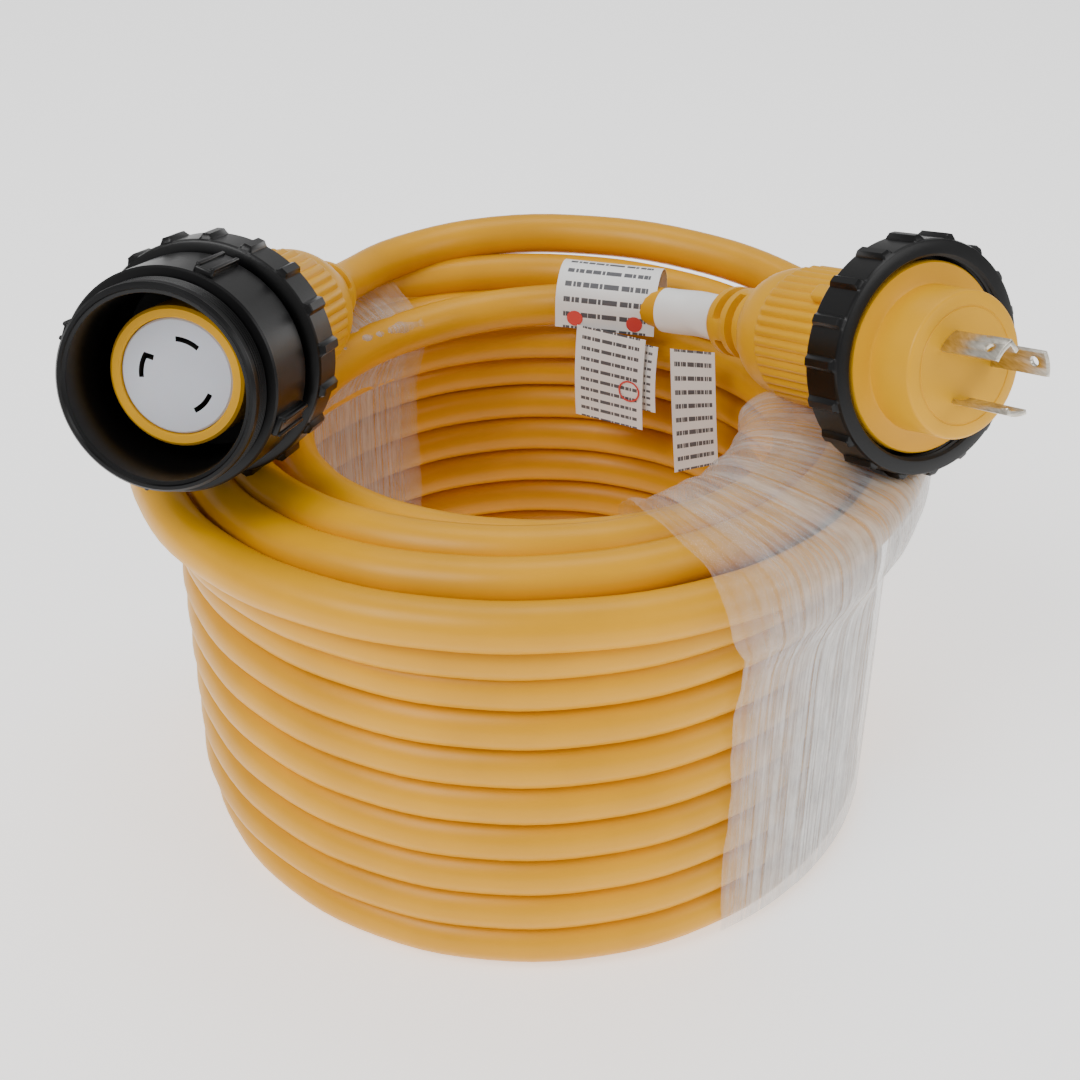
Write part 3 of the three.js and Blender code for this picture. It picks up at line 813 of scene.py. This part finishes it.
def finish_cad_nodes():
    """The inner pieces stay as the CAD made them, with their own materials."""
    finishes = {
        "plug_blade_carrier": PALE_INSERT,
        "plug_flange_gasket": PALE_GASKET,
        "plug_jacket_end": YELLOW_JACKET,
        "connector_jacket_end": YELLOW_JACKET,
        "connector_collar_gasket": DARK_RUBBER,
    }
    for core, material in CORE_FINISH.items():
        finishes[f"plug_{core}_conductor"] = material
        finishes[f"connector_{core}_conductor"] = material
        finishes[f"connector_{core}_contact"] = BRASS
    for node, material in finishes.items():
        obj = frame["nodes"][node]
        for slot in obj.material_slots:
            slot.material = material


finish_cad_nodes()

# ---- Stretch film -------------------------------------------------------------------------------


def film_material():
    """Stretch film: milky streaks along the band on the walls, clear and creased on top."""
    nodes = Nodes("stretch_film")
    streak = nodes.noise(2.0, 4.0, (34, 0.35, 1), 0.6, "UV")
    crease = nodes.noise(3.0, 5.0, (9, 2.2, 1), 0.7, "UV")
    place_on = nodes.add("ShaderNodeSeparateXYZ")
    nodes.link(nodes.coords.outputs["UV"], place_on.inputs[0])
    grey = lambda value: (value, value, value)
    cover_edge = nodes.ramp(place_on.outputs[0], [(0.0, grey(0.35)), (0.14, grey(0.75)), (0.35, grey(1.0))])
    length = nodes.add("ShaderNodeMath", operation="DIVIDE")
    length.inputs[1].default_value = FILM_LENGTH / 100
    nodes.link(place_on.outputs[1], length.inputs[0])
    walls = [(0.0, grey(1.0)), (0.33, grey(0.95)), (0.42, grey(0.55)), (0.58, grey(0.5)), (0.7, grey(0.62))]
    cover_wall = nodes.ramp(length.outputs[0], walls)
    cover = nodes.add("ShaderNodeMath", operation="MULTIPLY")
    nodes.link(cover_edge, cover.inputs[0])
    nodes.link(cover_wall, cover.inputs[1])
    streaks = nodes.ramp(streak, [(0.34, grey(0.40)), (0.5, grey(0.82)), (0.66, grey(1.0))])
    alpha = nodes.add("ShaderNodeMath", operation="MULTIPLY", use_clamp=True)
    nodes.link(cover.outputs[0], alpha.inputs[0])
    nodes.link(streaks, alpha.inputs[1])
    nodes.link(alpha.outputs[0], nodes.shader.inputs["Alpha"])
    colour = nodes.ramp(crease, [(0.3, (0.46, 0.46, 0.45)), (0.7, (0.78, 0.78, 0.77))])
    nodes.link(colour, nodes.shader.inputs["Base Color"])
    nodes.set(Roughness=0.18, Specular_IOR_Level=0.8)
    nodes.bump(crease, 0.8, 0.0012)
    return nodes.material


FILM_LENGTH = 380.0  # of one band, from the outer foot to the inner foot
FILM = film_material()


def wrinkle(across, along, seed):
    """A few crossing folds, as a height from -1 to 1."""
    waves = 0.0
    for k in range(1, 6):
        lean = math.sin(seed * 3.1 + k * 1.7) * 2.2
        waves += math.sin((across * (7 + 6 * k) + along * lean) * 2.1 + seed + k * 2.3) / k
    return waves / 2.3


def film_path(top_lift):
    """Section of the wrapped coil as (radius, height) corners, from the outer foot round."""
    return [
        (131.0, 4), (131.0, 60), (131.3, 106), (135, 121), (141.5, 134), (142.8, 147),
        (139.5, 155 + top_lift), (130, 158.5 + top_lift), (114, 161.5 + top_lift),
        (99, 162 + top_lift), (87, 159.5 + top_lift), (80, 151), (83, 139), (91, 127),
        (95.5, 113), (95.8, 60), (95.8, 4),
    ]


def film_band(name, centre, half_low, half_top, seed, node, top_lift=0.0):
    """A band of film over the outer wall, the top layer and the inner wall."""
    corners = film_path(top_lift)
    rows_per_span = 7
    section = []
    last = len(corners) - 1
    for i in range(last):
        p0, p1 = Vector(corners[max(i - 1, 0)]), Vector(corners[i])
        p2, p3 = Vector(corners[i + 1]), Vector(corners[min(i + 2, last)])
        for k in range(rows_per_span):
            s = k / rows_per_span
            section.append(0.5 * ((2 * p1) + (p2 - p0) * s + (2 * p0 - 5 * p1 + 4 * p2 - p3) * s * s
                                  + (3 * p1 - p0 - 3 * p2 + p3) * s**3))
    section.append(Vector(corners[-1]))
    columns = 90
    vertices = []
    uvs = []
    travelled = 0.0
    for i, point in enumerate(section):
        if i:
            travelled += (point - section[i - 1]).length
        topness = smooth_step((point.y - 110) / 45)
        half = half_low + (half_top - half_low) * topness
        for k in range(columns + 1):
            share = k / columns
            ragged = 0.006 * math.sin(travelled * 0.11 + seed) + 0.003 * math.sin(travelled * 0.31)
            degrees = centre - half + 2 * half * (share + (ragged if k in (0, columns) else 0))
            angle = math.radians(degrees)
            fold = wrinkle(share, travelled / 60, seed)
            radius = point.x + (0.5 + 0.35 * fold * (0.3 + 1.5 * topness)) * (1 if point.x > 108 else -1)
            height = point.y + 0.9 * fold * topness
            shift = TOP_SHIFT_X * topness * (1 - 0.8 * smooth_step((point.x - 100) / 35))
            vertices.append(place(radius * math.cos(angle) + shift, radius * math.sin(angle), height))
            uvs.append((share, travelled / 100))
    faces = []
    n = columns + 1
    for i in range(len(section) - 1):
        for k in range(columns):
            faces.append((i * n + k, i * n + k + 1, (i + 1) * n + k + 1, (i + 1) * n + k))
    obj = to_object(name, vertices, faces, FILM, None, 180)
    layer = obj.data.uv_layers.new(name="UVMap")
    for loop in obj.data.loops:
        layer.data[loop.index].uv = uvs[loop.vertex_index]
    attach(obj, "cord")
    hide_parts(node)
    return obj


film_band("film_right_visual", -34, 26, 31, 1.3, "film_band_right")
film_band("film_left_visual", 140, 20, 22, 4.1, "film_band_left", -7.0)

# ---- Labels ---------------------------------------------------------------------------------------


def paper_material(name, marks=True):
    """White coated paper; marks are plain grey bars in place of small print."""
    nodes = Nodes(name)
    base = nodes.ramp(nodes.noise(40.0), [(0.3, (0.78, 0.78, 0.77)), (0.7, (0.86, 0.86, 0.85))])
    nodes.set(Roughness=0.55)
    nodes.bump(nodes.noise(120.0), 0.2, 0.0001)
    if not marks:
        nodes.link(base, nodes.shader.inputs["Base Color"])
        return nodes.material
    separate = nodes.add("ShaderNodeSeparateXYZ")
    nodes.link(nodes.coords.outputs["UV"], separate.inputs[0])
    rows = nodes.add("ShaderNodeMath", operation="PINGPONG")
    rows.inputs[1].default_value = 0.5
    scale = nodes.add("ShaderNodeMath", operation="MULTIPLY")
    scale.inputs[1].default_value = 9.0
    nodes.link(separate.outputs[1], scale.inputs[0])
    nodes.link(scale.outputs[0], rows.inputs[0])
    in_row = nodes.add("ShaderNodeMath", operation="LESS_THAN")
    in_row.inputs[1].default_value = 0.17
    nodes.link(rows.outputs[0], in_row.inputs[0])
    words = nodes.noise(9.0, 1.0, (3.2, 0.01, 1), 0.5, "UV")
    broken = nodes.add("ShaderNodeMath", operation="GREATER_THAN")
    broken.inputs[1].default_value = 0.43
    nodes.link(words, broken.inputs[0])
    edge_low = nodes.add("ShaderNodeMath", operation="GREATER_THAN")
    edge_low.inputs[1].default_value = 0.08
    nodes.link(separate.outputs[0], edge_low.inputs[0])
    edge_high = nodes.add("ShaderNodeMath", operation="LESS_THAN")
    edge_high.inputs[1].default_value = 0.92
    nodes.link(separate.outputs[0], edge_high.inputs[0])
    mask = in_row.outputs[0]
    for extra in (broken, edge_low, edge_high):
        both = nodes.add("ShaderNodeMath", operation="MULTIPLY")
        nodes.link(mask, both.inputs[0])
        nodes.link(extra.outputs[0], both.inputs[1])
        mask = both.outputs[0]
    mix = nodes.add("ShaderNodeMix", data_type="RGBA")
    nodes.link(mask, mix.inputs[0])
    nodes.link(base, mix.inputs[6])
    mix.inputs[7].default_value = (0.09, 0.09, 0.10, 1)
    nodes.link(mix.outputs[2], nodes.shader.inputs["Base Color"])
    return nodes.material


PAPER = paper_material("paper_printed")
PLAIN_PAPER = paper_material("paper_plain", False)
RED_INK = plastic("ink_red", (0.62, 0.05, 0.04), (0.72, 0.07, 0.06), 0.5).material


def strip(name, profile, width_points, material, thick=0.25):
    """A thin paper strip: profile points run along it, width_points give its two edges."""
    rows = len(profile)
    vertices = []
    for side in (0, 1):
        for i in range(rows):
            left, right = width_points(i)
            along = (profile[min(i + 1, rows - 1)] - profile[max(i - 1, 0)]).normalized()
            normal = along.cross((right - left).normalized()) * thick * MM * side
            vertices += [left + normal, right + normal]
    faces = []
    lower = 2 * rows
    for i in range(rows - 1):
        a = 2 * i
        faces.append((a, a + 1, a + 3, a + 2))
        faces.append((lower + a, lower + a + 2, lower + a + 3, lower + a + 1))
        faces.append((a, a + 2, lower + a + 2, lower + a))
        faces.append((a + 1, lower + a + 1, lower + a + 3, a + 3))
    faces.append((0, lower, lower + 1, 1))
    a = 2 * (rows - 1)
    faces.append((a, a + 1, lower + a + 1, lower + a))
    obj = to_object(name, vertices, faces, material, None, 30)
    fix_normals(obj)
    lengths = [0.0]
    for a, b in zip(profile, profile[1:]):
        lengths.append(lengths[-1] + (b - a).length)
    layer = obj.data.uv_layers.new(name="UVMap")
    for loop in obj.data.loops:
        index = loop.vertex_index % lower
        layer.data[loop.index].uv = (index % 2, 1 - lengths[index // 2] / lengths[-1])
    return obj


def loop_tag(centre, along, width, radius, front_drop, back_drop):
    """Paper folded over the cable: up the front, over the top and down behind."""
    side = Vector((-along.y, along.x, 0)).normalized()
    if side.y > 0:
        side = -side
    up = Vector((0, 0, 1))
    profile = []
    for k in range(6):
        profile.append(centre + side * radius * MM + up * (-front_drop * (1 - k / 6)) * MM)
    for k in range(17):
        angle = math.pi * k / 16
        profile.append(centre + (side * math.cos(angle) + up * math.sin(angle)) * radius * MM)
    for k in range(1, 5):
        profile.append(centre - side * radius * MM - up * back_drop * k / 4 * MM)
    half = along.normalized() * width / 2 * MM

    def edges(i):
        return profile[i] - half, profile[i] + half

    return strip("loop_tag_visual", profile, edges, PAPER)


def hanging_tag(name, top, along, width, drop, lean=0.0, slant=0.0, curl=1.5, material=PAPER):
    """A flat tag that hangs from its top edge, facing the front of the coil."""
    across = Vector((along.x, along.y, 0)).normalized()
    outward = Vector((across.y, -across.x, 0))
    if outward.y > 0:
        outward = -outward
    rows = 10
    profile = []
    for i in range(rows + 1):
        s = i / rows
        bend = outward * curl * math.sin(math.pi * s) * MM
        profile.append(top + Vector((0, 0, -drop * s * MM)) + across * lean * s * MM + bend)
    half = across * width / 2 * MM

    def edges(i):
        extra = Vector((0, 0, -slant * MM)) * (i / rows)
        return profile[i] - half, profile[i] + half + extra

    return strip(name, profile, edges, material)


def red_mark(name, point, outward, radius, inner):
    """A plain red disc, or a ring when inner is above 0, lying on a tag."""
    across = Vector((-outward.y, outward.x, 0)).normalized()
    turn = Matrix((across, outward.cross(across), outward)).transposed().to_4x4()
    matrix = Matrix.Translation(point + outward * 0.4 * MM) @ turn @ Matrix.Scale(MM, 4)
    profile = [(inner, 0), (radius, 0), (radius, 0.1), (inner, 0.1)]
    return turned(name, profile, RED_INK, matrix, 40)


def sleeve(points, radius):
    """A paper sleeve around the lead."""
    count = 32
    thick = 0.3
    vertices = []
    rings = len(points)
    for shell in (radius, radius + thick):
        for i, point in enumerate(points):
            along = (points[min(i + 1, rings - 1)] - points[max(i - 1, 0)]).normalized()
            u = along.cross(Vector((0, 0, 1))).normalized()
            v = u.cross(along)
            for k in range(count):
                angle = 2 * math.pi * k / count
                wobble = 1 + 0.012 * math.sin(3 * angle + i)
                vertices.append(point + (u * math.cos(angle) + v * math.sin(angle)) * shell * wobble * MM)
    faces = []
    outer = rings * count
    for i in range(rings - 1):
        for k in range(count):
            n = (k + 1) % count
            a, b = i * count, (i + 1) * count
            faces.append((a + k, a + n, b + n, b + k))
            faces.append((outer + a + k, outer + b + k, outer + b + n, outer + a + n))
    for end in (0, (rings - 1) * count):
        for k in range(count):
            n = (k + 1) % count
            faces.append((end + k, outer + end + k, outer + end + n, end + n))
    obj = to_object("label_sleeve_visual", vertices, faces, PLAIN_PAPER, None, 30)
    fix_normals(obj)
    return obj


def along_route(distance):
    """Point and direction on the cable at a distance in millimetres from the plug."""
    left = distance * MM
    for a, b in zip(ROUTE, ROUTE[1:]):
        step = (b - a).length
        if left <= step:
            return a + (b - a) * (left / step), (b - a).normalized()
        left -= step
    raise ValueError("past the end of the cable")


TAG_TURN = math.radians(-28)


def build_labels():
    made = []
    wrap = sleeve([along_route(1.5 + 3.8 * k)[0] for k in range(10)], JACKET_R + 0.25)
    made.append((wrap, "label_sleeve"))
    spot, along = along_route(64)
    along = Vector((along.x, along.y, 0)).normalized()
    loop = loop_tag(spot + Vector((0, 0, 3 * MM)), along, 40, 13, 9, 5)
    made.append((loop, "label_loop_tag"))
    hanging = Vector((math.cos(TAG_TURN), math.sin(TAG_TURN), 0))
    tag = hanging_tag("warning_tag_visual", place(31.3, 66.2, 149), hanging, 30, 40)
    rear = hanging_tag("rear_tag_visual", place(38.0, 65.0, 146), hanging, 26, 29)
    made += [(tag, "label_warning_tag"), (rear, "label_rear_tag")]
    slanted = Vector((1, -0.2, 0))
    long_tag = hanging_tag("long_tag_visual", place(61, 40, 154), slanted, 17, 54, 4, -6)
    made.append((long_tag, "label_long_tag"))
    for piece, node in made:
        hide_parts(node)
    facing = Vector((hanging.y, -hanging.x, 0))
    marks = [red_mark("tag_ring", place(39.5, 61.8, 126) + facing * 1.6 * MM, facing, 4.6, 3.9)]
    forward = Vector((-along.y, along.x, 0))
    for side in (-1, 1):
        corner = spot + along * 12 * side * MM + forward * 13 * MM - Vector((0, 0, 1.5 * MM))
        marks.append(red_mark(f"tag_disc_{side + 1}", corner, forward, 3.2, 0.0))
    pieces = [piece for piece, _ in made] + marks
    for piece in pieces:
        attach(piece, "cord")
    return pieces


labels = build_labels()

# ---- Floor and light --------------------------------------------------------------------------------


def pale_floor():
    mesh = bpy.data.meshes.new("floor")
    side = 4.0
    mesh.from_pydata([(-side, -side, 0), (side, -side, 0), (side, side, 0), (-side, side, 0)], [], [(0, 1, 2, 3)])
    nodes = Nodes("floor_white")
    nodes.set(Base_Color=(0.9, 0.9, 0.9, 1), Roughness=0.7, Specular_IOR_Level=0.1)
    nodes.set(Emission_Color=(1, 1, 1, 1), Emission_Strength=0.9)
    mesh.materials.append(nodes.material)
    floor = bpy.data.objects.new("floor", mesh)
    floor.location.z = -0.0005
    bpy.context.scene.collection.objects.link(floor)


def area_light(name, location, size, power, target=(0, 0, 0.1)):
    data = bpy.data.lights.new(name, "AREA")
    data.shape = "RECTANGLE"
    data.size, data.size_y = size
    data.energy = power
    light = bpy.data.objects.new(name, data)
    light.location = location
    aim = Vector(target) - Vector(location)
    light.rotation_euler = aim.to_track_quat("-Z", "Y").to_euler()
    bpy.context.scene.collection.objects.link(light)


def world_light():
    world = bpy.data.worlds.new("studio")
    world.use_nodes = True
    background = world.node_tree.nodes["Background"]
    background.inputs[0].default_value = (1, 1, 1, 1)
    background.inputs[1].default_value = 0.55
    bpy.context.scene.world = world


pale_floor()
world_light()
area_light("key", (-0.9, -1.0, 1.5), (0.9, 0.9), 20)
area_light("fill", (1.3, -0.7, 1.0), (0.8, 0.8), 6)
area_light("top", (0.1, 0.5, 1.7), (1.2, 0.8), 9)
